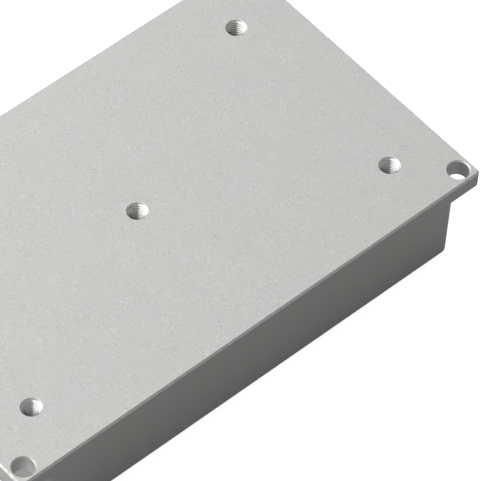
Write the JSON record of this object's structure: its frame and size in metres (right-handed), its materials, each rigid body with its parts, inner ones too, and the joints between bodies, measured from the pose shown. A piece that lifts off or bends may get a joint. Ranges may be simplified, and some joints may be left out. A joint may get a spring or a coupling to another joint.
{
  "type": "flanged aluminium enclosure",
  "caption": "Shallow rectangular milled aluminium box with end flanges, corner through holes, threaded holes in its flat mounting face and a screwed-on cover let into the underside.",
  "frame": {"origin": "centre of the underside, on the plane of the rim that the enclosure stands on", "axes": "+X along the length of the mounting plate towards one flange, +Y across its width, +Z out of the mounting face"},
  "size_m": [0.0904, 0.0544, 0.015],
  "materials": {
    "housing_aluminium": "fine bead-blasted, clear anodised, bright machined edge breaks and holes",
    "cover_aluminium": "fine bead-blasted, clear anodised",
    "screw_steel": "bright turned stainless steel"
  },
  "bodies": {
    "root": {"housing": "housing_aluminium", "cover": "cover_aluminium", "cover_screw_1": "screw_steel", "cover_screw_2": "screw_steel", "cover_screw_3": "screw_steel", "cover_screw_4": "screw_steel", "cover_screw_5": "screw_steel", "cover_screw_6": "screw_steel", "cover_screw_7": "screw_steel", "cover_screw_8": "screw_steel"}
  },
  "joints": []
}
